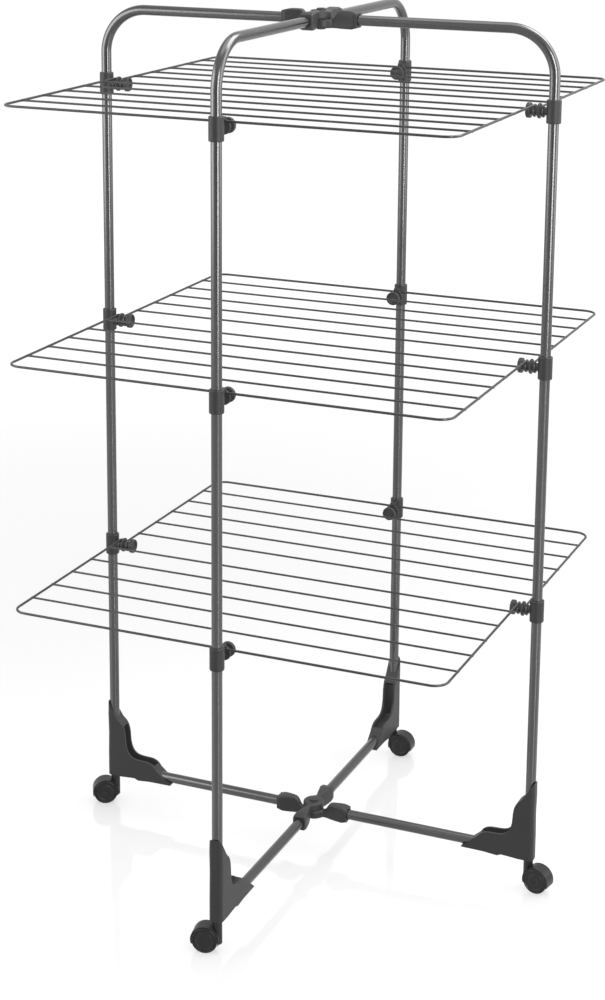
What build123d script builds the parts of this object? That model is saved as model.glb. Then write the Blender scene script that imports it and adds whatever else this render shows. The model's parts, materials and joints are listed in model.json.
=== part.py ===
"""Folding three-tier clothes drying rack on castors, in millimetres.

Two tube frames cross on a common upright axis: frame A spans left to right, frame B front to back.
Each frame is two posts joined by a bent tube at the top, a straight bar at the bottom and a socket
hub in the middle of both. Wire rack halves turn on spools on frame A and rest in hooks on frame B.
The origin is on the floor under the hub axis, +Z is up.
"""

import os

from build123d import *

os.makedirs("parts", exist_ok=True)

# Tube frames
TUBE_R = 8.0
TUBE_WALL = 1.0
REACH = 370.0
BAR_Z = 62.0
TOP_Z = 1362.0
BEND_R = 70.0
TIERS = {"low": 468.0, "middle": 855.5, "top": 1243.0}
SIDES = {"left": 180, "right": 0, "front": 270, "back": 90}
FRAME_SIDES = {"a": ("left", "right"), "b": ("front", "back")}

# Hubs
HUB_HEIGHT = 27.0
DISC_R = 24.0
DISC_GAP = 0.4
NECK_WIDTH = 10.0
ARM_START = 26.0
ARM_END = 62.0
ARM_SPREAD = 0.405
TUBE_START = 46.0
PIN_R = 4.0
PIN_HEAD_R = 7.0
PIN_HEAD = 2.5
RUNNING_FIT = 0.06

# Clips
CLIP_R = 11.0
CLIP_HEIGHT = 35.0
SPOOL_R = 6.0
FLANGE_R = 11.5
SPOOL_END = 41.0
INNER_EYE = 15.5
OUTER_EYE = 29.0
HOOK_AT = 18.0
HOOK_HALF = 3.0
THROAT_HALF = 2.15
BRIDGE_HALF = 4.0

# Wire racks
FRAME_WIRE_R = 1.9
WIRE_R = 1.6
EYE_R = SPOOL_R + FRAME_WIRE_R + 0.1
EYE_TURN = 290
RACK_LEFT = -(REACH - INNER_EYE)
RACK_RIGHT = REACH - OUTER_EYE
RACK_DEPTH = REACH - HOOK_AT
RACK_CORNER = 22.0
WIRE_PITCH = 62.4
FIRST_WIRE = 40.0
WIRE_COUNT = 5

# Feet
FOOT_HALF = 11.0
FOOT_BOTTOM = 51.0
FOOT_TOP = 184.0
FOOT_BACK = REACH + 9.5
SLOT_HALF = 7.6
POST_END_Z = 66.0
BAR_END = 354.0

# Castors, each with the direction in which it trails at rest
WHEEL_R = 20.0
WHEEL_INNER = 3.6
WHEEL_OUTER = 12.6
WEB_HALF = 3.0
HOOD_R = 22.0
HOOD_HALF = 11.4
HOOD_DROP = 7.0
WELL_R = 20.7
BOSS_R = 7.5
TRAIL = 17.5
STEM_R = 4.0
STEM_LOW = 38.0
STEM_TOP = 64.0
AXLE_R = 3.0
AXLE_HALF = 10.0
TRAILING = {"left": 210, "right": -10, "front": 192, "back": 0}

# Fixing screws of the tubes
SCREW_R = 1.5
SCREW_HEAD_R = 2.9
SCREW_HEAD = 1.4
SCREW_LENGTH = 5.0
ARM_SCREW_AT = 56.0
FOOT_SCREW_AT = 312.0


def outward(angle):
    """Level unit vector from the hub axis towards the given angle."""
    return Vector(1, 0, 0).rotate(Axis.Z, angle)


def upright(angle, height=0.0):
    """Upright plane of one side: x runs outwards and y runs up."""
    return Plane(origin=(0, 0, height), x_dir=outward(angle), z_dir=outward(angle - 90))


def level(angle, height, reach=0.0):
    """Level plane whose origin is out on one side and whose x runs outwards."""
    origin = outward(angle) * reach + Vector(0, 0, height)
    return Plane(origin=origin, x_dir=outward(angle), z_dir=(0, 0, 1))


def facing(angle, height, reach):
    """Plane square to one side: x runs across, y runs up and z runs outwards."""
    origin = outward(angle) * reach + Vector(0, 0, height)
    return Plane(origin=origin, x_dir=outward(angle + 90), z_dir=outward(angle))


def save(piece, name):
    """Label a finished piece and write it to its own file."""
    piece.part.label = name
    export_step(piece.part, f"parts/{name}.step")


def screw_under(angle, height):
    """Plane of the seat of the screw that goes up into a tube at a hub arm."""
    return level(angle, height - TUBE_R - 2.0, ARM_SCREW_AT)


def screw_beside(side):
    """Plane of the seat of the screw that goes sideways into the bar in a foot."""
    angle = SIDES[side]
    across = 90 if side in ("right", "back") else -90
    seat = outward(angle) * FOOT_SCREW_AT + outward(angle + across) * (TUBE_R + 1.6)
    return Plane(origin=seat + Vector(0, 0, BAR_Z), z_dir=outward(angle + across + 180))


def make_post(side):
    """Straight upright tube from inside the foot to the middle of the top clip."""
    with BuildPart() as post:
        with BuildSketch(level(SIDES[side], POST_END_Z, REACH)):
            Circle(TUBE_R)
            Circle(TUBE_R - TUBE_WALL, mode=Mode.SUBTRACT)
        extrude(amount=TIERS["top"] - POST_END_Z)
    save(post, f"post_{side}")


def make_bow(side):
    """Bent tube from the top hub out and down to the middle of the top clip."""
    angle = SIDES[side]
    with BuildPart() as bow:
        with BuildLine(upright(angle)) as path:
            FilletPolyline((TUBE_START, TOP_Z), (REACH, TOP_Z), (REACH, TIERS["top"]), radius=BEND_R)
        with BuildSketch(facing(angle, TOP_Z, TUBE_START)):
            Circle(TUBE_R)
            Circle(TUBE_R - TUBE_WALL, mode=Mode.SUBTRACT)
        sweep(path=path.wires()[0])
        with BuildSketch(screw_under(angle, TOP_Z)):
            Circle(SCREW_R)
        extrude(amount=SCREW_LENGTH, mode=Mode.SUBTRACT)
    save(bow, f"bow_{side}")


def make_bar(side):
    """Straight level tube from the bottom hub into the foot."""
    angle = SIDES[side]
    with BuildPart() as bar:
        with BuildSketch(facing(angle, BAR_Z, TUBE_START)):
            Circle(TUBE_R)
            Circle(TUBE_R - TUBE_WALL, mode=Mode.SUBTRACT)
        extrude(amount=BAR_END - TUBE_START)
        for seat in (screw_under(angle, BAR_Z), screw_beside(side)):
            with BuildSketch(seat):
                Circle(SCREW_R)
            extrude(amount=SCREW_LENGTH, mode=Mode.SUBTRACT)
    save(bar, f"bar_{side}")


def arm_sections():
    """Reach, width and height of a hub arm: it widens from the disc, then narrows at the mouth."""
    middle = (ARM_START + 54) / 2
    return (
        (ARM_START, ARM_SPREAD * ARM_START, HUB_HEIGHT - 1.0),
        (middle, ARM_SPREAD * middle, HUB_HEIGHT + 0.6),
        (54.0, ARM_SPREAD * 54.0, HUB_HEIGHT - 2.0),
        (ARM_END, 21.0, 21.6),
    )


def make_hub(frame, name, height):
    """One frame's half of a hub: a half-height disc with two full-height socket arms."""
    angle = SIDES[FRAME_SIDES[frame][0]]
    disc_height = (HUB_HEIGHT - DISC_GAP) / 2
    disc_low = height - HUB_HEIGHT / 2 if frame == "a" else height + DISC_GAP / 2
    with BuildPart() as hub:
        with BuildSketch(level(angle, disc_low)):
            Circle(DISC_R)
            Rectangle(2 * ARM_START + 8, NECK_WIDTH)
        extrude(amount=disc_height)
        outer = height - HUB_HEIGHT / 2 if frame == "a" else height + HUB_HEIGHT / 2
        rims = hub.edges().filter_by(GeomType.CIRCLE).filter_by(lambda e: abs(e.center().Z - outer) < 0.1)
        fillet(rims, 2.5)
        for side in (angle, angle + 180):
            for reach, width, tall in arm_sections():
                with BuildSketch(facing(side, height, reach)):
                    RectangleRounded(width, tall, 3.6)
            loft(ruled=True)
            with BuildSketch(facing(side, height, TUBE_START)):
                Circle(TUBE_R)
            extrude(amount=ARM_END, mode=Mode.SUBTRACT)
            with BuildSketch(screw_under(side, height)):
                Circle(SCREW_R)
            extrude(amount=SCREW_LENGTH, mode=Mode.SUBTRACT)
            with BuildSketch(screw_under(side, height)):
                Circle(SCREW_HEAD_R + 0.2)
            extrude(amount=-2 * SCREW_LENGTH, mode=Mode.SUBTRACT)
        with BuildSketch(Plane.XY.offset(height - HUB_HEIGHT)):
            Circle(PIN_R if frame == "a" else PIN_R + RUNNING_FIT)
        extrude(amount=2 * HUB_HEIGHT, mode=Mode.SUBTRACT)
    save(hub, f"hub_{name}_{frame}")


def make_hub_pin(name, height):
    """Headed pivot pin through both hub halves, fast in frame A's and turning in frame B's."""
    with BuildPart() as pin:
        low = height - HUB_HEIGHT / 2
        with BuildSketch(Plane.XY.offset(low - PIN_HEAD)):
            Circle(PIN_HEAD_R)
        extrude(amount=PIN_HEAD)
        with BuildSketch(Plane.XY.offset(low)):
            Circle(PIN_R)
        extrude(amount=HUB_HEIGHT + 0.3)
        with BuildSketch(Plane.XY.offset(low + HUB_HEIGHT + 0.3)):
            Circle(PIN_HEAD_R)
        extrude(amount=PIN_HEAD)
        ends = pin.edges().filter_by(GeomType.CIRCLE).group_by(Axis.Z)
        fillet(ends[0] + ends[-1], 1.2)
    save(pin, f"hub_pin_{name}")


def make_clip(side, tier_name):
    """Sleeve on a post with a spool turned inwards.

    On frame A the two grooves of the spool carry the eyes of the rack halves. On frame B the spool
    is cut through by a slot that is open downwards and bridged above: it holds one outer wire.
    """
    angle, tier = SIDES[side], TIERS[tier_name]
    hooked = side in FRAME_SIDES["b"]
    flange_start = HOOK_AT + HOOK_HALF if hooked else 20.0
    flange_end = flange_start + 3.5
    end_start = SPOOL_END - 6.5
    with BuildPart() as clip:
        with BuildSketch(level(angle, tier - CLIP_HEIGHT / 2, REACH)):
            Circle(CLIP_R)
        extrude(amount=CLIP_HEIGHT)
        fillet(clip.edges().filter_by(GeomType.CIRCLE), 1.4)
        with BuildSketch(upright(angle, tier)) as spool:
            with BuildLine():
                Polyline(
                    (REACH - 5, 0),
                    (REACH - 5, SPOOL_R),
                    (REACH - flange_start, SPOOL_R),
                    (REACH - flange_start, FLANGE_R),
                    (REACH - flange_end, FLANGE_R),
                    (REACH - flange_end, SPOOL_R),
                    (REACH - end_start, SPOOL_R),
                    (REACH - end_start, FLANGE_R),
                    (REACH - SPOOL_END, FLANGE_R),
                    (REACH - SPOOL_END, FLANGE_R - 3.0),
                    (REACH - SPOOL_END + 2.2, FLANGE_R - 4.2),
                    (REACH - SPOOL_END + 2.2, 0),
                    close=True,
                )
            make_face()
            fillet(spool.vertices().filter_by(lambda v: v.Y > FLANGE_R - 0.1), 1.2)
        revolve(axis=Axis((0, 0, tier), outward(angle)))
        if hooked:
            slot_near = REACH - HOOK_AT + HOOK_HALF
            slot_far = REACH - HOOK_AT - HOOK_HALF
            bridge_low = EYE_R + FRAME_WIRE_R + 0.7
            bridge_high = bridge_low + 4.0
            nub_high = EYE_R - FRAME_WIRE_R - 0.2
            with BuildSketch(upright(angle, tier)):
                with BuildLine():
                    Polyline(
                        (REACH - 9, 0),
                        (REACH - 9, bridge_high),
                        (slot_far - 2, bridge_high),
                        (slot_far - 3.4, bridge_high - 2),
                        (slot_far - 3.4, 0),
                        close=True,
                    )
                make_face()
            extrude(amount=BRIDGE_HALF, both=True)
            with BuildSketch(upright(angle, tier)):
                with BuildLine():
                    Polyline(
                        (slot_far, -CLIP_HEIGHT),
                        (slot_far, bridge_low),
                        (slot_near, bridge_low),
                        (slot_near, -CLIP_HEIGHT),
                        close=True,
                    )
                make_face()
            extrude(amount=2 * CLIP_R, both=True, mode=Mode.SUBTRACT)
            for wall, tip in ((slot_near, THROAT_HALF), (slot_far, -THROAT_HALF)):
                with BuildSketch(upright(angle, tier)):
                    with BuildLine():
                        Polyline(
                            (wall, nub_high),
                            (REACH - HOOK_AT + tip, nub_high - 0.8),
                            (wall, nub_high - 2.0),
                            close=True,
                        )
                    make_face()
                extrude(amount=BRIDGE_HALF, both=True)
        with BuildSketch(level(angle, tier - CLIP_HEIGHT, REACH)):
            Circle(TUBE_R)
        extrude(amount=2 * CLIP_HEIGHT, mode=Mode.SUBTRACT)
    save(clip, f"{'hook' if hooked else 'spool'}_clip_{side}_{tier_name}")


def rack_plane(turn, tier):
    """Level plane of a rack half through its spool axis: its outer wire lies at negative y."""
    return Plane(origin=(0, 0, tier), x_dir=outward(turn), z_dir=(0, 0, 1))


def eye_plane(rack, across):
    """Plane of one eye: x runs inwards past the spool axis and y runs up."""
    return Plane(origin=rack.from_local_coords((across, 0, 0)), x_dir=rack.y_dir, z_dir=rack.x_dir)


def make_rack_frame(half, tier_name):
    """Outer wire of a rack half, bent from one length, with an open eye at each end."""
    rack = rack_plane(180 if half == "back" else 0, TIERS[tier_name])
    with BuildPart() as wire:
        with BuildLine(eye_plane(rack, RACK_LEFT)) as left_eye:
            CenterArc((0, 0), EYE_R, 90, -EYE_TURN)
        with BuildLine(rack.offset(EYE_R)) as outline:
            FilletPolyline(
                (RACK_LEFT, 0),
                (RACK_LEFT, -RACK_DEPTH),
                (RACK_RIGHT, -RACK_DEPTH),
                (RACK_RIGHT, 0),
                radius=RACK_CORNER,
            )
        with BuildLine(eye_plane(rack, RACK_RIGHT)) as right_eye:
            CenterArc((0, 0), EYE_R, 90, -EYE_TURN)
        path = Wire(left_eye.edges() + outline.edges() + right_eye.edges())
        with BuildSketch(Plane(origin=path @ 0, z_dir=path % 0)):
            Circle(FRAME_WIRE_R)
        sweep(path=path)
    save(wire, f"rack_frame_{half}_{tier_name}")


def make_rack_wires(half, tier_name):
    """Straight hanging wires of a rack half, their ends shaped to the outer wire."""
    rack = rack_plane(180 if half == "back" else 0, TIERS[tier_name])
    with BuildPart() as wires:
        for row in range(WIRE_COUNT):
            start = rack.from_local_coords((RACK_LEFT, -FIRST_WIRE - row * WIRE_PITCH, EYE_R))
            with BuildSketch(Plane(origin=start, z_dir=rack.x_dir)):
                Circle(WIRE_R)
            extrude(amount=RACK_RIGHT - RACK_LEFT)
        for edge in (RACK_LEFT, RACK_RIGHT):
            start = rack.from_local_coords((edge, 0, EYE_R))
            with BuildSketch(Plane(origin=start, z_dir=rack.y_dir * -1)):
                Circle(FRAME_WIRE_R)
            extrude(amount=RACK_DEPTH, mode=Mode.SUBTRACT)
    save(wires, f"rack_wires_{half}_{tier_name}")


def make_foot(side):
    """Moulded foot that joins a post, a bottom bar and a castor."""
    angle = SIDES[side]
    with BuildPart() as foot:
        with BuildSketch(upright(angle)):
            with BuildLine():
                Polyline(
                    (287, 75),
                    (260, FOOT_BOTTOM + 1.5),
                    (299, FOOT_BOTTOM + 1),
                    (321, FOOT_BOTTOM - 1),
                    (328, FOOT_BOTTOM + 2),
                    (356, FOOT_BOTTOM),
                    (FOOT_BACK, FOOT_BOTTOM),
                    (FOOT_BACK, 90),
                    (FOOT_BACK - 0.8, 128),
                    (FOOT_BACK, 160),
                    (FOOT_BACK - 0.5, FOOT_TOP),
                    (359, 153),
                )
                Spline((359, 153), (345.5, 128), (343, 106), (334, 91), (317, 87), (302, 86), (287, 75))
            make_face()
        extrude(amount=FOOT_HALF, both=True)
        back = foot.faces().filter_by(lambda f: abs(f.normal_at().dot(outward(angle))) > 0.99)
        back_edges = back.edges().filter_by(lambda e: abs(e.tangent_at(0.5).Z) > 0.9)
        outer_edges = back_edges.filter_by(lambda e: e.center().dot(outward(angle)) > FOOT_BACK - 3)
        fillet(outer_edges, 7.0)
        with BuildSketch(upright(angle)):
            with BuildLine():
                FilletPolyline(
                    (340, 150),
                    (355, 138),
                    (355, 78),
                    (298, 76),
                    (286, 84),
                    (286, 110),
                    (320, 150),
                    radius=3,
                    close=True,
                )
            make_face()
        extrude(amount=SLOT_HALF, both=True, mode=Mode.SUBTRACT)
        with BuildSketch(level(angle, POST_END_Z, REACH)):
            Circle(TUBE_R)
        extrude(amount=FOOT_TOP, mode=Mode.SUBTRACT)
        with BuildSketch(facing(angle, BAR_Z, BAR_END)):
            Circle(TUBE_R)
        extrude(amount=-BAR_END / 2, mode=Mode.SUBTRACT)
        with BuildSketch(level(angle, 0, REACH)):
            Circle(STEM_R + RUNNING_FIT)
        extrude(amount=STEM_TOP + 0.5, mode=Mode.SUBTRACT)
        with BuildSketch(screw_beside(side)):
            Circle(SCREW_R)
        extrude(amount=SCREW_LENGTH, mode=Mode.SUBTRACT)
        with BuildSketch(screw_beside(side)):
            Circle(SCREW_HEAD_R + 0.2)
        extrude(amount=-SCREW_LENGTH, mode=Mode.SUBTRACT)
    save(foot, f"foot_{side}")


def axle_plane(side):
    """Upright plane through a castor's axle middle: x trails and z runs along the axle."""
    trailing = outward(TRAILING[side])
    origin = outward(SIDES[side]) * REACH + trailing * TRAIL + Vector(0, 0, WHEEL_R)
    return Plane(origin=origin, x_dir=trailing, z_dir=outward(TRAILING[side] - 90))


def make_castor_housing(side):
    """Castor hood over both wheels, with the web between them and the boss of the stem."""
    axle = axle_plane(side)
    swivel = level(TRAILING[side], WHEEL_R - HOOD_DROP)
    swivel.origin += outward(SIDES[side]) * REACH
    with BuildPart() as housing:
        with BuildSketch(axle.offset(-HOOD_HALF)):
            Circle(HOOD_R)
            with Locations((0, -HOOD_DROP - HOOD_R)):
                Rectangle(4 * HOOD_R, 2 * HOOD_R, mode=Mode.SUBTRACT)
        extrude(amount=2 * HOOD_HALF)
        with BuildSketch(swivel):
            Circle(BOSS_R)
        extrude(amount=FOOT_BOTTOM - 0.5 - WHEEL_R + HOOD_DROP)
        for face in (axle.offset(WEB_HALF), (-axle).offset(WEB_HALF)):
            with BuildSketch(face):
                Circle(WELL_R)
            extrude(amount=WHEEL_R, mode=Mode.SUBTRACT)
        with BuildSketch(axle.offset(-WEB_HALF)):
            Circle(AXLE_R)
        extrude(amount=2 * WEB_HALF, mode=Mode.SUBTRACT)
        with BuildSketch(swivel.offset(STEM_LOW - WHEEL_R + HOOD_DROP)):
            Circle(STEM_R)
        extrude(amount=STEM_TOP, mode=Mode.SUBTRACT)
    save(housing, f"castor_housing_{side}")


def make_castor_pins(side):
    """Upright stem that turns in the foot and axle that carries the wheels."""
    with BuildPart() as pins:
        with BuildSketch(level(SIDES[side], STEM_LOW, REACH)):
            Circle(STEM_R)
        extrude(amount=STEM_TOP - STEM_LOW)
        with BuildSketch(axle_plane(side).offset(-AXLE_HALF)):
            Circle(AXLE_R)
        extrude(amount=2 * AXLE_HALF)
    save(pins, f"castor_pins_{side}")


def make_castor_wheels(side):
    """Pair of wheels with a blind bore inside and a shallow dished face outside."""
    axle = axle_plane(side)
    with BuildPart() as wheels:
        for way in (axle, -axle):
            with BuildSketch(Plane(origin=way.origin, x_dir=way.x_dir, z_dir=way.y_dir * -1)) as half:
                with BuildLine():
                    Polyline(
                        (0, AXLE_HALF + 0.4),
                        (AXLE_R + RUNNING_FIT, AXLE_HALF + 0.4),
                        (AXLE_R + RUNNING_FIT, WHEEL_INNER),
                        (WHEEL_R, WHEEL_INNER),
                        (WHEEL_R, WHEEL_OUTER),
                        (WHEEL_R - 2.6, WHEEL_OUTER),
                        (WHEEL_R - 3.2, WHEEL_OUTER - 0.8),
                        (0, WHEEL_OUTER - 0.2),
                        close=True,
                    )
                make_face()
                fillet(half.vertices().filter_by(lambda v: v.X > WHEEL_R - 0.1), 1.4)
            revolve(axis=Axis(way.origin, way.z_dir))
    save(wheels, f"castor_wheels_{side}")


def make_screws(frame):
    """Fixing screws of one frame: one in each hub arm and one in each foot."""
    with BuildPart() as screws:
        for side in FRAME_SIDES[frame]:
            angle = SIDES[side]
            for seat in (screw_under(angle, TOP_Z), screw_under(angle, BAR_Z), screw_beside(side)):
                with BuildSketch(seat):
                    Circle(SCREW_R)
                extrude(amount=SCREW_LENGTH)
                with BuildSketch(seat):
                    Circle(SCREW_HEAD_R)
                extrude(amount=-SCREW_HEAD)
    save(screws, f"screws_{frame}")


for hub_name, hub_height in (("top", TOP_Z), ("bottom", BAR_Z)):
    make_hub("a", hub_name, hub_height)
    make_hub("b", hub_name, hub_height)
    make_hub_pin(hub_name, hub_height)

for side_name in SIDES:
    make_post(side_name)
    make_bow(side_name)
    make_bar(side_name)
    make_foot(side_name)
    make_castor_housing(side_name)
    make_castor_pins(side_name)
    make_castor_wheels(side_name)

for level_name in TIERS:
    for side_name in SIDES:
        make_clip(side_name, level_name)
    for half_name in ("front", "back"):
        make_rack_frame(half_name, level_name)
        make_rack_wires(half_name, level_name)

for frame_name in FRAME_SIDES:
    make_screws(frame_name)
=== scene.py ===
# %% [markdown]
# # A folding clothes airer
# The airer is two crossed tube frames with three levels of wire racks. Its construction comes from
# the packed CAD model, in metres, with the origin on the floor under the fold axis. This notebook
# gives every piece its finish, adds the small details that a maker's drawing leaves out, and sets
# up a plain studio.

# %% Load the frame
import json
import math
import random

import bmesh
import bpy
from mathutils import Matrix, Vector


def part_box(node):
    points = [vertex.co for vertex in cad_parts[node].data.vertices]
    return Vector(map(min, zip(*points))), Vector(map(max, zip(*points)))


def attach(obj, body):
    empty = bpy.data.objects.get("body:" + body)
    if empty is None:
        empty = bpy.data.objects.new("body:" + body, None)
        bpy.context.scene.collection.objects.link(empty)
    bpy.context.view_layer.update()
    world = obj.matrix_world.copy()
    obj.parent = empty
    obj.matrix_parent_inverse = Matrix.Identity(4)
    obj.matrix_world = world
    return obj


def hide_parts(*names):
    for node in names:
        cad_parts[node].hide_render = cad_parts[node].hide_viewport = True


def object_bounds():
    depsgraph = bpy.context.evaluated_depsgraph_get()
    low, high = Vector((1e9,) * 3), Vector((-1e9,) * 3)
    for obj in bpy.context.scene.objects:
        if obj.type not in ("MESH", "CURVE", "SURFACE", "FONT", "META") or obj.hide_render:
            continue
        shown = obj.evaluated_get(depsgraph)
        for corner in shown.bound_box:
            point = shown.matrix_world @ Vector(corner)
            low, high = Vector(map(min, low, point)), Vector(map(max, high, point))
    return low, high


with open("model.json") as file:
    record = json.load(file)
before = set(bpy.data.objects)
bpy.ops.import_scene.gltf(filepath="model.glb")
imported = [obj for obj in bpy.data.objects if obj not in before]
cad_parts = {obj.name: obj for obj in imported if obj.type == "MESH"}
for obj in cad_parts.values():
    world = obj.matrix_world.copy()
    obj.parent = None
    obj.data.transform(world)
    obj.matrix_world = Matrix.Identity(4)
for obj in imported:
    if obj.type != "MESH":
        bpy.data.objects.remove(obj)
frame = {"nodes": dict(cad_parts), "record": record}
cad_low, cad_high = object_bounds()
nodes = frame["nodes"]
extent = [round(high - low, 3) for low, high in zip(cad_low, cad_high)]
print("nodes", len(nodes), "width, depth and height", extent)

# %% [markdown]
# ## The camera
# A tall rack looks best with its upright lines nearly parallel. Tilting the camera far down would
# make them lean together, so it tilts only a little and its lens is shifted for the rest. The camera
# stands above half height, to the right of the front. Its three angles are in radians and its
# distances in metres.

# %% Camera
SENSOR_WIDTH = 36.0
FOCAL_SHARE = 2.07582  # focal length as a share of the sensor's width
CAMERA_SHIFT = -0.22
TURN, TILT, ROLL = 0.40265, 0.22041, 0.00788
AIM = Vector((0, 0, 0.712))
DISTANCE, ASIDE, ABOVE = 3.29116, -0.02333, 0.23762

forward = Vector((
    -math.sin(TURN) * math.cos(TILT), math.cos(TURN) * math.cos(TILT), -math.sin(TILT),
))
level_right = Vector((math.cos(TURN), math.sin(TURN), 0))
level_up = level_right.cross(forward)
right = level_right * math.cos(ROLL) + level_up * math.sin(ROLL)
up = level_up * math.cos(ROLL) - level_right * math.sin(ROLL)

camera_data = bpy.data.cameras.new("camera")
camera_data.sensor_width = SENSOR_WIDTH
camera_data.lens = FOCAL_SHARE * SENSOR_WIDTH
camera_data.shift_y = CAMERA_SHIFT
camera = bpy.data.objects.new("camera", camera_data)
bpy.context.scene.collection.objects.link(camera)
axes = Matrix((right, up, -forward)).transposed().to_4x4()
stand = AIM - forward * DISTANCE + right * ASIDE + up * ABOVE
camera.matrix_world = Matrix.Translation(stand) @ axes
bpy.context.scene.camera = camera
print("camera at", [round(v, 2) for v in camera.matrix_world.translation])

# %% [markdown]
# ## Writing shader maths as arithmetic
# A finish is easier to read as an expression than as a drawing of wires. `Value` wraps one socket,
# and arithmetic on it adds Math nodes.


# %% Value
class Value:
    """One output socket, with arithmetic."""

    def __init__(self, finish, socket):
        self.finish = finish
        self.socket = socket

    def math(self, operation, first, second):
        """Add one Math node."""
        return self.finish.node("ShaderNodeMath", {"operation": operation}, {0: first, 1: second})

    def __add__(self, other):
        return self.math("ADD", self, other)

    def __sub__(self, other):
        return self.math("SUBTRACT", self, other)

    def __rsub__(self, other):
        return self.math("SUBTRACT", other, self)

    def __mul__(self, other):
        return self.math("MULTIPLY", self, other)

    __radd__ = __add__
    __rmul__ = __mul__


print("reflected operators", [name for name in vars(Value) if name.startswith("__r")])

# %% [markdown]
# ## One material at a time
# `Finish` is one material with a Principled surface. Its `node` method makes any node from its type,
# its settings, which are set first, and the values or links of its sockets. The other methods give
# names to the few patterns that all finishes here share: all of them are noise on the piece's own
# place in space, so no piece needs unwrapping.


# %% Finish
class Finish:
    """One procedural material with a Principled surface."""

    def __init__(self, name, **surface):
        self.material = bpy.data.materials.new(name)
        self.material.use_nodes = True
        self.tree = self.material.node_tree
        self.surface = self.tree.nodes["Principled BSDF"]
        for socket, value in surface.items():
            self.plug(self.surface.inputs[socket.replace("_", " ")], value)

    def plug(self, socket, value):
        """Link a Value to a socket, or set a plain number or colour on it."""
        if isinstance(value, Value):
            self.tree.links.new(value.socket, socket)
        else:
            socket.default_value = value

    def node(self, kind, settings=None, inputs=None, output=0):
        """Add a node and give one of its outputs."""
        node = self.tree.nodes.new(kind)
        for key, value in (settings or {}).items():
            setattr(node, key, value)
        for key, value in (inputs or {}).items():
            self.plug(node.inputs[key], value)
        return Value(self, node.outputs[output])

    def place(self):
        """Position on the object in metres."""
        return self.node("ShaderNodeTexCoord", output=3)

    def noise(self, scale, detail=2.0, roughness=0.5, stretch=(1, 1, 1)):
        """Soft random pattern from 0 to 1; stretch scales the pattern along each axis."""
        where = self.node("ShaderNodeMapping", None, {"Vector": self.place(), "Scale": stretch})
        inputs = {"Vector": where, "Scale": scale, "Detail": detail, "Roughness": roughness}
        return self.node("ShaderNodeTexNoise", None, inputs)

    def vary(self, socket, value):
        """Let a value that changes over the piece drive a socket of the surface."""
        self.plug(self.surface.inputs[socket], value)

    def blend(self, factor, first, second):
        """Colour between two colours, which are sockets 6 and 7 of a Mix node."""
        inputs = {0: factor, 6: first, 7: second}
        return self.node("ShaderNodeMix", {"data_type": "RGBA"}, inputs, output=2)

    def relief(self, height, strength, depth):
        """Bump the surface by a height pattern, its depth in metres."""
        inputs = {"Height": height, "Strength": strength, "Distance": depth}
        self.vary("Normal", self.node("ShaderNodeBump", None, inputs))


def grey(level, warmth=0.0):
    """Neutral colour, or a slightly warm one."""
    return (level * (1 + warmth), level, level * (1 - warmth), 1.0)


print("a middle grey", grey(0.5))

# %% [markdown]
# ## Lacquered steel
# The tubes are sprayed graphite: a thin metallic lacquer over steel. Up close it has a faint orange
# peel and cloudy changes of gloss. A picture of lacquer would repeat along a long tube, so noise at
# three scales drives colour, roughness and a very shallow bump. The wires are dipped in a darker and
# duller coat of the same graphite.


# %% Tube and wire lacquer
CLOUD_SHARE = 0.7  # of the change in colour; the rest is rubbing


def lacquer(name, dark, light, roughness, metal):
    """Metallic spray lacquer that varies between two greys."""
    finish = Finish(name, Metallic=metal, Coat_Weight=0.12, Coat_Roughness=0.15)
    cloud = finish.noise(9.0, detail=3.0)
    rubbed = finish.noise(45.0, detail=3.0)
    peel = finish.noise(600.0, detail=1.0)
    tint = cloud * CLOUD_SHARE + rubbed * (1 - CLOUD_SHARE)
    finish.vary("Base Color", finish.blend(tint, grey(dark), grey(light)))
    finish.vary("Roughness", roughness + (cloud - 0.5) * 0.08 + (rubbed - 0.5) * 0.05)
    finish.relief(peel, strength=0.06, depth=0.0001)
    return finish.material


TUBE = lacquer("graphite_tube_lacquer", dark=0.062, light=0.085, roughness=0.24, metal=0.9)
WIRE = lacquer("graphite_wire_lacquer", dark=0.026, light=0.042, roughness=0.36, metal=0.8)
print("lacquers", TUBE.name, WIRE.name)

# %% [markdown]
# ## Moulded plastic
# Clips, hubs and feet are moulded in dark grey plastic. The mould has a spark-eroded grain, so the
# surface is matt with tiny pits: a fine noise makes them with a bump, because real pits would need
# millions of faces. The flow of the plastic makes wide, faint changes of tone, and handling leaves
# scuffs. Castor plastic is darker and a little glossier.


# %% Plastics
FLOW_SHARE = 0.6  # of the change in colour; the rest is scuffs


def moulded(name, dark, light, roughness, grain, depth, shine, coat=0.0):
    """Grained plastic: grain is how fine its pits are, and depth how deep, in metres."""
    finish = Finish(name, Coat_Weight=coat, Coat_Roughness=0.25, Specular_IOR_Level=shine)
    flow = finish.noise(14.0, detail=3.0, roughness=0.6)
    speck = finish.noise(grain, detail=2.0, roughness=0.65)
    scuff = finish.noise(120.0, detail=7.0, roughness=0.8, stretch=(1, 0.4, 1))
    tint = flow * FLOW_SHARE + scuff * (1 - FLOW_SHARE)
    finish.vary("Base Color", finish.blend(tint, grey(dark), grey(light)))
    finish.vary("Roughness", roughness + (scuff - 0.5) * 0.14 + (speck - 0.5) * 0.06)
    finish.relief(speck, strength=0.25, depth=depth)
    return finish.material


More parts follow.
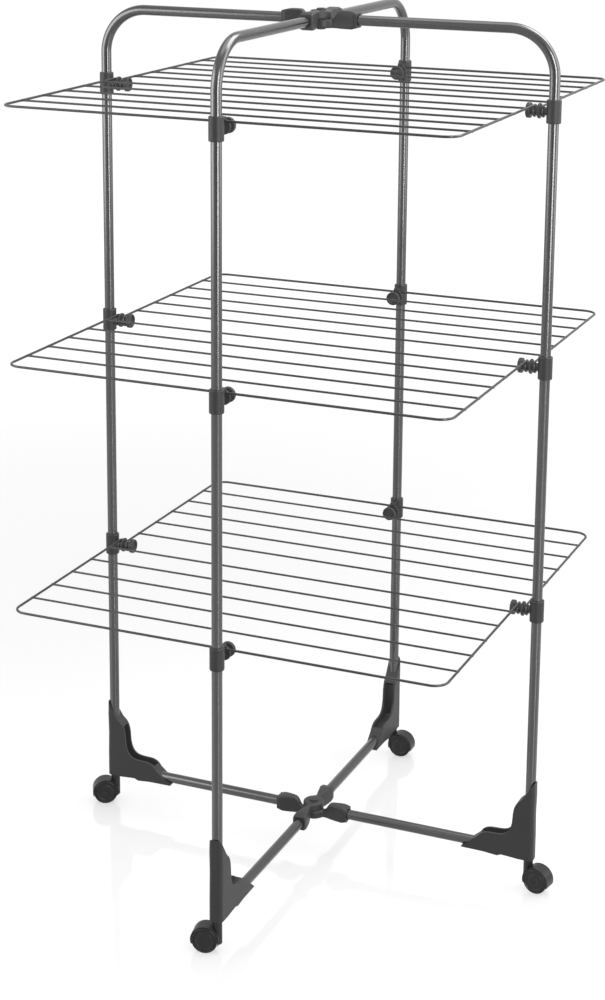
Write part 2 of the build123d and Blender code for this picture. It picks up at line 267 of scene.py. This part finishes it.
PLASTIC = moulded("grained_grey_plastic", dark=0.011, light=0.018, roughness=0.46,
                  grain=1500.0, depth=0.0005, shine=0.24)
CASTOR = moulded("castor_hood_plastic", dark=0.006, light=0.010, roughness=0.36,
                 grain=1100.0, depth=0.0003, shine=0.2, coat=0.06)
WHEEL = moulded("castor_wheel_plastic", dark=0.005, light=0.008, roughness=0.33,
                grain=900.0, depth=0.0002, shine=0.2, coat=0.08)
print("plastics", PLASTIC.name, CASTOR.name, WHEEL.name)

# %% [markdown]
# ## Plated metal
# Pivot pins, castor stems and axles are zinc-plated and the screws are blackened. Plating keeps the
# fine streaks of the drawn steel under it, so one noise, stretched along the upright axis, drives
# colour, roughness and bump together.


# %% Plated steel
def plated(name, dark, light, roughness):
    """Streaky plating that varies between two greys."""
    finish = Finish(name, Metallic=1.0)
    streak = finish.noise(400.0, detail=3.0, stretch=(1, 1, 0.1))
    finish.vary("Base Color", finish.blend(streak, grey(dark, 0.02), grey(light)))
    finish.vary("Roughness", roughness + (streak - 0.5) * 0.15)
    finish.relief(streak, strength=0.08, depth=0.0002)
    return finish.material


PIN = plated("zinc_plate", dark=0.42, light=0.62, roughness=0.30)
SCREW = plated("black_zinc", dark=0.05, light=0.10, roughness=0.35)
FINISHES = {"tube": TUBE, "wire": WIRE, "plastic": PLASTIC, "castor": CASTOR, "wheel": WHEEL,
            "pin": PIN, "screw": SCREW}
print("plating", PIN.name, SCREW.name)

# %% [markdown]
# ## Dress the CAD pieces
# The record says which slot each piece takes its finish from. Faces that meet at a shallow angle
# belong to one round surface and are shaded smooth; sharper edges stay crisp.

# %% Assign finishes
SMOOTH_BELOW = math.radians(35)


def shade(mesh):
    """Smooth the round surfaces and keep edges sharper than the limit crisp."""
    shape = bmesh.new()
    shape.from_mesh(mesh)
    creases = [len(e.link_faces) != 2 or e.calc_face_angle(0) > SMOOTH_BELOW for e in shape.edges]
    shape.free()
    for edge, crease in zip(mesh.edges, creases):
        edge.use_edge_sharp = crease
    for face in mesh.polygons:
        face.use_smooth = True


slot_of = {part["node"]: part["material_slot"] for part in frame["record"]["subparts"]}
for name, piece in nodes.items():
    piece.data.materials.clear()
    piece.data.materials.append(FINISHES[slot_of[name]])
    shade(piece.data)
print("dressed", len(nodes), "pieces")

# %% [markdown]
# ## Making pieces from sections
# A small moulded part is a closed skin over a row of cross-sections, like planks over a boat's ribs.
# A loop of points is laid out for each section and neighbouring loops are joined by quads. This beats
# carving a block with booleans: the mesh is clean, and one list of numbers holds the shape.

# %% Skins
MM = 0.001
UP = Vector((0, 0, 1))


def rounded_loop(half_width, half_height, corner, steps=7):
    """Points (across, up) round a rounded rectangle, always the same number of them."""
    corner = min(corner, half_width, half_height)
    loop = []
    for quarter, (sign_x, sign_y) in enumerate(((1, 1), (-1, 1), (-1, -1), (1, -1))):
        for step in range(steps):
            turn = (quarter + step / (steps - 1)) * math.pi / 2
            across = sign_x * (half_width - corner) + corner * math.cos(turn)
            loop.append((across, sign_y * (half_height - corner) + corner * math.sin(turn)))
    return loop


def wall(shape, rings):
    """Join each ring of vertices to the next with quads."""
    for one, two in zip(rings, rings[1:]):
        for i in range(len(one)):
            j = (i + 1) % len(one)
            shape.faces.new((one[i], one[j], two[j], two[i]))


def skin(shape, loops):
    """Join a row of equally long loops of points, and close both ends."""
    rings = [[shape.verts.new(point) for point in loop] for loop in loops]
    shape.faces.new(reversed(rings[0]))
    shape.faces.new(rings[-1])
    wall(shape, rings)


print("points round a section", len(rounded_loop(8.0, 5.0, 2.0)))

# %% [markdown]
# ## Pieces that move with the frames
# Every new piece rides on a body of the frame, so that it follows when the airer folds. It takes its
# finish, and names the CAD pieces that it stands for, if there are any.


# %% Riding pieces
def middle_of(node):
    """Middle of the box round a CAD piece."""
    low, high = (Vector(corner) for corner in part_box(node))
    return (low + high) / 2


def riding_piece(name, shape, body, finish, stands_for=()):
    """Turn a bmesh into an object on a body, with its finish."""
    bmesh.ops.remove_doubles(shape, verts=shape.verts, dist=1e-7)
    bmesh.ops.recalc_face_normals(shape, faces=shape.faces)
    mesh = bpy.data.meshes.new(name)
    shape.to_mesh(mesh)
    shape.free()
    mesh.materials.append(finish)
    shade(mesh)
    piece = bpy.data.objects.new(name, mesh)
    bpy.context.scene.collection.objects.link(piece)
    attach(piece, body)
    if stands_for:
        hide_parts(*stands_for)


print("middle of the upper hub", [round(v, 3) for v in middle_of("hub_top_a")])

# %% [markdown]
# ## Hubs
# Each hub is two halves that turn on one pin: the lower half belongs to the left and right arms and
# the upper one to the front and back arms. A half is half as high as the hub over the middle and
# swells to the full height in its two sockets, which flare outwards and end in a recessed mouth round
# the tube. The sections run straight through from one mouth to the other, so both arms are one skin.

# %% Hub measures
# All in mm. The halves part 0.2 above the middle, and the disc is a little lower than the sockets.
HALF_HEIGHT, SPLIT, CORNER, DISC_DROP = 13.8, 0.2, 3.4, 0.3
# The drop ends with the neck. Beyond the belly a socket reaches as far down as up.
NECK_END, BELLY_END = 30.0, 54.0
# Distance from the pin, half width, and how far the socket has swelled, from 0 to 1.
HUB_PROFILE = (
    (0.0, 17.0, 0.0), (4.0, 16.5, 0.0), (8.0, 15.0, 0.0), (11.5, 12.5, 0.0), (14.5, 8.9, 0.0),
    (17.0, 5.2, 0.0), (19.0, 3.9, 0.03), (22.0, 4.3, 0.16), (25.0, 4.9, 0.48), (28.0, 5.5, 0.8),
    (31.0, 6.1, 0.96), (35.0, 7.0, 1.0), (40.0, 8.0, 1.0), (46.0, 9.1, 1.0), (52.0, 10.2, 0.97),
    (56.0, 10.7, 0.92), (58.5, 10.7, 0.86), (59.3, 10.3, 0.80), (60.0, 10.6, 0.82),
    (61.4, 10.6, 0.82), (62.0, 10.2, 0.79),
)
# The mouth: where it is, the radius of its lip, the lip's slope, its depth and its inner radius.
MOUTH_AT, LIP, LIP_SLOPE, MOUTH_DEPTH, MOUTH_CLEAR = 62.0, 9.4, 0.3, 1.6, 8.1
print("sections from pin to mouth", len(HUB_PROFILE))


# %% Hub halves
def upper_heights(along, swell):
    """Lowest and highest height of the upper half at a distance from the pin."""
    if abs(along) > BELLY_END:
        return -HALF_HEIGHT * swell, HALF_HEIGHT * swell
    high = HALF_HEIGHT - DISC_DROP if abs(along) < NECK_END else HALF_HEIGHT
    return SPLIT - swell * (HALF_HEIGHT + SPLIT), high


def hub_half(shape, centre, upper):
    """One half of a hub: the lower one's arms lie along X, and the upper one's along Y."""
    turn = Matrix.Rotation(math.pi / 2 if upper else 0.0, 3, "Z")
    loops = []

    def add(along, half_width, low, high, corner):
        middle, half = (low + high) / 2, (high - low) / 2
        loop = rounded_loop(half_width, half, corner)
        loops.append([centre + turn @ Vector((along, a, u + middle)) * MM for a, u in loop])

    def mouth(way):
        floor_at = way * (MOUTH_AT - MOUTH_DEPTH)
        for along, radius in ((way * MOUTH_AT, LIP), (floor_at, LIP - LIP_SLOPE),
                              (floor_at, MOUTH_CLEAR)):
            add(along, radius, -radius, radius, radius)

    mouth(-1)
    loops.reverse()
    mirrored = [(-along, wide, swell) for along, wide, swell in reversed(HUB_PROFILE[1:])]
    for along, wide, swell in (*mirrored, *HUB_PROFILE):
        low, high = upper_heights(along, swell)
        add(along, wide, *((low, high) if upper else (-high, -low)), CORNER)
    mouth(1)
    skin(shape, loops)


for level_name in ("top", "bottom"):
    for letter in ("a", "b"):
        node = f"hub_{level_name}_{letter}"
        shape = bmesh.new()
        hub_half(shape, middle_of(node), letter == "b")
        riding_piece(f"hub_half_{level_name}_{letter}", shape, f"frame_{letter}",
                     PLASTIC, (node,))
print("hub halves 4")

# %% [markdown]
# ## Wheel caps
# A plastic castor wheel is closed by a pressed-in cap: a raised ring near the tread, a groove inside
# it and a low dome. That is a shape of revolution, so its half outline is turned about the axle. The
# axle of each castor comes from the frame's own joint.

# %% Wheel caps
# Radius and distance along the axle, in mm.
CAP_OUTLINE = (
    (0.0, 10.8), (15.2, 10.8), (15.2, 12.1), (14.9, 12.5), (14.2, 12.6), (13.5, 12.5),
    (13.1, 12.15), (12.8, 11.95), (12.2, 11.95), (11.9, 12.2), (11.2, 12.35), (8.0, 12.5),
    (4.2, 12.58), (3.6, 12.3), (3.0, 12.25), (0.0, 12.3),
)
CAP_STEPS = 72


def turned(shape, outline, origin, axis, steps):
    """Solid of revolution of an outline (radius, along) in mm about an axis."""
    across = axis.orthogonal().normalized()
    start = [shape.verts.new(origin + (across * r + axis * a) * MM) for r, a in outline]
    line = [shape.edges.new(pair) for pair in zip(start, start[1:])]
    bmesh.ops.spin(shape, geom=start + line, cent=origin, axis=axis, angle=math.tau, steps=steps,
                   use_merge=True, use_duplicate=False)


joints = {joint["name"]: joint for joint in frame["record"]["behaviour"]["joints"]}
for side_name in ("left", "right", "front", "back"):
    axle = Vector(joints[f"wheel_spin_{side_name}"]["axis"]).normalized()
    centre = middle_of(f"castor_wheels_{side_name}")
    shape = bmesh.new()
    for way in (axle, -axle):
        turned(shape, CAP_OUTLINE, centre, way, CAP_STEPS)
    riding_piece(f"wheel_caps_{side_name}", shape, f"wheels_{side_name}", CASTOR)
print("wheel caps 4 pairs")

# %% [markdown]
# ## Weld beads
# Each inner wire is resistance-welded to the side wires: the two melt together into a small, uneven
# bead. A bead is a rounded lump whose surface is pushed in and out by a seeded random amount, longer
# along the side wire than across it, and sits round the joint of the wires.

# %% Weld beads
# In mm: half sizes of a bead, how far past the inner wire's end it sits, and how far it may lean.
BEAD_ALONG, BEAD_ACROSS, BEAD_UP, BEAD_PAST, BEAD_LEAN = 3.1, 2.5, 2.15, 1.2, 0.25
# SWELL and GRAIN are shares of a bead's size. The other two say how often it swells.
SWELL, SWELL_TURNS, LEAN_TURNS, GRAIN = 0.10, 5, 9, 0.03
INNER_WIRES = 5
chance = random.Random(7)


def bead(shape, centre):
    """One uneven lump of melted wire."""
    made = bmesh.ops.create_icosphere(shape, subdivisions=2, radius=1.0)
    lean = chance.uniform(-BEAD_LEAN, BEAD_LEAN)
    for vert in made["verts"]:
        swelling = SWELL * math.sin(SWELL_TURNS * vert.co.x + LEAN_TURNS * lean)
        lump = 1 + swelling + chance.uniform(-GRAIN, GRAIN)
        stretch = Vector((vert.co.x * BEAD_ACROSS, vert.co.y * BEAD_ALONG, vert.co.z * BEAD_UP))
        vert.co = centre + (stretch * lump + Vector((0, lean, 0))) * MM


for level_name in ("low", "middle", "top"):
    for half in ("front", "back"):
        low, high = (Vector(corner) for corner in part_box(f"rack_wires_{half}_{level_name}"))
        wire_radius = (high.z - low.z) / 2
        first, last = low.y + wire_radius, high.y - wire_radius
        shape = bmesh.new()
        for row in range(INNER_WIRES):
            y = first + (last - first) * row / (INNER_WIRES - 1)
            for end, way in ((low.x, -1), (high.x, 1)):
                bead(shape, Vector((end + way * BEAD_PAST * MM, y, (low.z + high.z) / 2)))
        riding_piece(f"weld_beads_{half}_{level_name}", shape, f"rack_{half}_{level_name}",
                     WIRE)
print("weld beads 60")

# %% [markdown]
# ## Screws
# Blackened pan-head screws with a cross recess hold the tubes in their sockets. The head is a row of
# rings. Its flat top is filled between the last ring and the outline of the cross, and the cross is
# then sunk straight down, which needs no boolean.

# %% Screw heads
# All in mm. The head's outline is radius and height above its seat.
HEAD_OUTLINE = ((2.9, 0.0), (2.9, 0.35), (2.72, 0.85), (2.35, 1.22), (1.95, 1.38))
HEAD_STEPS = 32
SHANK, SHANK_LONG = 1.4, 4.5
LONG, WIDE, CROSS_DEEP = 1.35, 0.38, 0.8
PIT_SHARE = 0.8  # how much of its width the cross keeps at the bottom
CROSS = (
    (LONG, -WIDE), (LONG, WIDE), (WIDE, WIDE), (WIDE, LONG), (-WIDE, LONG), (-WIDE, WIDE),
    (-LONG, WIDE), (-LONG, -WIDE), (-WIDE, -WIDE), (-WIDE, -LONG), (WIDE, -LONG), (WIDE, -WIDE),
)


def screw(shape, seat, out):
    """One pan-head screw: the head stands out of the seat and the shank goes in."""
    across = out.orthogonal().normalized()
    along = out.cross(across)

    def ring(outline, height):
        return [shape.verts.new(seat + (across * a + along * b + out * height) * MM)
                for a, b in outline]

    def circle(radius):
        turns = [math.tau * i / HEAD_STEPS for i in range(HEAD_STEPS)]
        return [(math.cos(t) * radius, math.sin(t) * radius) for t in turns]

    outline = ((SHANK, -SHANK_LONG), (SHANK, 0.0), *HEAD_OUTLINE)
    rings = [ring(circle(radius), height) for radius, height in outline]
    shape.faces.new(reversed(rings[0]))
    wall(shape, rings)

    crown = HEAD_OUTLINE[-1][1]
    brim = ring(CROSS, crown)
    pit = ring([(a * PIT_SHARE, b * PIT_SHARE) for a, b in CROSS], crown - CROSS_DEEP)
    rim = rings[-1]
    edges = [shape.edges.get(pair) for pair in zip(rim, rim[1:] + rim[:1])]
    edges += [shape.edges.new(pair) for pair in zip(brim, brim[1:] + brim[:1])]
    bmesh.ops.triangle_fill(shape, edges=edges, use_beauty=True)
    wall(shape, [brim, pit])
    shape.faces.new(pit)


print("corners of a cross", len(CROSS))

# %% Screws in hubs and feet
# In mm: distance from the fold axis, and of the seat from the tube's axis.
HUB_SCREW_AT, HUB_SCREW_SEAT = 56.0, 10.0
FOOT_SCREW_AT, FOOT_SCREW_SEAT = 312.0, 9.6
SCREWED = (  # frame, the way of its arms, the way its foot screws face, and one of its bars
    ("a", Vector((-1, 0, 0)), Vector((0, 1, 0)), "bar_left"),
    ("b", Vector((0, -1, 0)), Vector((-1, 0, 0)), "bar_front"),
)

for letter, arm, facing, bar in SCREWED:
    shape = bmesh.new()
    for outwards in (arm, -arm):
        for level_name in ("top", "bottom"):
            under = middle_of(f"hub_{level_name}_{letter}").z - HUB_SCREW_SEAT * MM
            screw(shape, outwards * HUB_SCREW_AT * MM + UP * under, -UP)
        seat = outwards * FOOT_SCREW_AT * MM + facing * FOOT_SCREW_SEAT * MM
        screw(shape, seat + UP * middle_of(bar).z, facing)
    riding_piece(f"cross_screws_{letter}", shape, f"frame_{letter}", SCREW,
                 (f"screws_{letter}",))
print("screws 12")

# %% [markdown]
# ## The studio floor
# The floor is pale and polished, so the airer stands over a faint mirror image of itself. Its colour
# is deeper under the lamps and paler further out, which keeps the whole floor about equally bright.
# The distance from the middle, eased between two radii, makes that change without an edge.


# %% Floor
def flat_panel(name, width, height, place, facing, material):
    """A flat rectangle that isn't part of the airer, its front turned along facing."""
    mesh = bpy.data.meshes.new(name)
    x, y = width / 2, height / 2
    mesh.from_pydata([(-x, -y, 0), (x, -y, 0), (x, y, 0), (-x, y, 0)], [], [(0, 1, 2, 3)])
    piece = bpy.data.objects.new(name, mesh)
    turn = Vector(facing).to_track_quat("Z", "Y").to_matrix().to_4x4()
    piece.matrix_world = Matrix.Translation(place) @ turn
    mesh.materials.append(material)
    bpy.context.scene.collection.objects.link(piece)
    return piece


FLOOR_NEAR, FLOOR_FAR = 0.40, 0.95
POOL_START, POOL_END = 0.8, 5.2  # where the pool of deeper colour starts and stops fading
FLOOR_SIDE, FLOOR_GAP = 60, 0.0006
floor_finish = Finish("studio_floor", Roughness=0.05, Specular_IOR_Level=0.62)
away = floor_finish.node("ShaderNodeVectorMath", {"operation": "LENGTH"},
                         {0: floor_finish.place()}, output=1)
pool = floor_finish.node("ShaderNodeMapRange", {"interpolation_type": "SMOOTHSTEP"},
                         {"Value": away, "From Min": POOL_START, "From Max": POOL_END})
floor_finish.vary("Base Color", floor_finish.blend(pool, grey(FLOOR_NEAR), grey(FLOOR_FAR)))
floor = flat_panel("floor", FLOOR_SIDE, FLOOR_SIDE, UP * -FLOOR_GAP, UP, floor_finish.material)
print("floor", tuple(floor.dimensions))

# %% [markdown]
# ## Lamps
# A dark tube in an all-white room looks flat. Tall softboxes left and right draw bright lines down
# every tube, a narrow strip adds a sharp glint, and two lamps overhead light the upper bars and the
# racks. They cast no shadows: the pale floor then stays even, as under a much larger studio ceiling.


# %% Lamps
def area_light(name, place, aim, width, height, radiance):
    """A rectangular lamp turned to a point, as bright all over as radiance says."""
    data = bpy.data.lights.new(name, "AREA")
    data.shape = "RECTANGLE"
    data.size, data.size_y = width, height
    data.energy = radiance * width * height * math.pi
    data.use_shadow = False
    lamp = bpy.data.objects.new(name, data)
    turn = (Vector(place) - Vector(aim)).to_track_quat("Z", "Y").to_matrix().to_4x4()
    lamp.matrix_world = Matrix.Translation(place) @ turn
    bpy.context.scene.collection.objects.link(lamp)
    return lamp


towards = -Vector((forward.x, forward.y, 0)).normalized()
beside = Vector((-towards.y, towards.x, 0))


def in_studio(near_camera, to_side, height):
    """A point by its distances towards the camera, to the side and above the floor."""
    return towards * near_camera + beside * to_side + Vector((0, 0, height))


# Name, then in metres: towards the camera, to the side, height, width and tallness; and radiance.
LAMPS = (
    ("left_softbox", 0.6, -2.5, 1.5, 2.2, 2.0, 5.5),
    ("right_softbox", 0.2, 2.5, 1.6, 2.0, 2.2, 4.0),
    ("strip_light", 2.4, 1.35, 1.4, 0.55, 2.2, 22.0),
    ("high_softbox", -0.4, 1.3, 2.9, 1.5, 1.5, 10.0),
    ("top_light", 0.0, 0.0, 3.6, 2.0, 2.0, 2.5),
)
LAMP_AIM = UP * 0.8
for name, near_camera, to_side, height, wide, tall, radiance in LAMPS:
    area_light(name, in_studio(near_camera, to_side, height), LAMP_AIM, wide, tall, radiance)
print("lamps", len(bpy.data.lights))

# %% [markdown]
# ## A black flag
# Studios stand black cloth, a flag, beside polished metal. Here one stands on the camera's side and
# only reflections see it: it puts the dark core into every upright tube, between the bright lines of
# the softboxes. It fades out towards its edges, so its own image in the floor has no outline.

# %% Flag
FLAG_NEAR, FLAG_SIDE, FLAG_WIDE, FLAG_TALL, FLAG_LIFT = 2.6, -0.05, 1.9, 2.7, 0.02
FLAG_DENSITY = 1.6  # above 1, so the flag is quite black well before its middle

flag_finish = Finish("black_flag", Base_Color=grey(0.01), Roughness=1.0)
spread = {"Vector": flag_finish.place(), "Scale": (2 / FLAG_WIDE, 2 / FLAG_TALL, 1)}
oval = flag_finish.node("ShaderNodeMapping", None, spread)
fade = flag_finish.node("ShaderNodeTexGradient", {"gradient_type": "SPHERICAL"}, {"Vector": oval})
flag_finish.vary("Alpha", fade * FLAG_DENSITY)
flag = flat_panel("flag", FLAG_WIDE, FLAG_TALL,
                  in_studio(FLAG_NEAR, FLAG_SIDE, FLAG_TALL / 2 + FLAG_LIFT), -towards,
                  flag_finish.material)
flag.visible_camera = False
flag.visible_shadow = False
flag.visible_diffuse = False
print("flag", tuple(round(v, 2) for v in flag.dimensions))

# %% [markdown]
# ## The white room
# The lamps alone would leave the gloss of the tubes black wherever no softbox is mirrored. A white
# surround, a touch brighter than paper, fills those mirrors and gives the background its white.

# %% Surround
SURROUND = 1.03
world = bpy.data.worlds.new("white_surround")
world.use_nodes = True
world.node_tree.nodes["Background"].inputs["Color"].default_value = grey(1.0)
world.node_tree.nodes["Background"].inputs["Strength"].default_value = SURROUND
bpy.context.scene.world = world
bpy.context.scene.view_settings.view_transform = "Standard"
print("surround", SURROUND)

# %% [markdown] ## Sizes The details must not make the airer any larger than its construction.
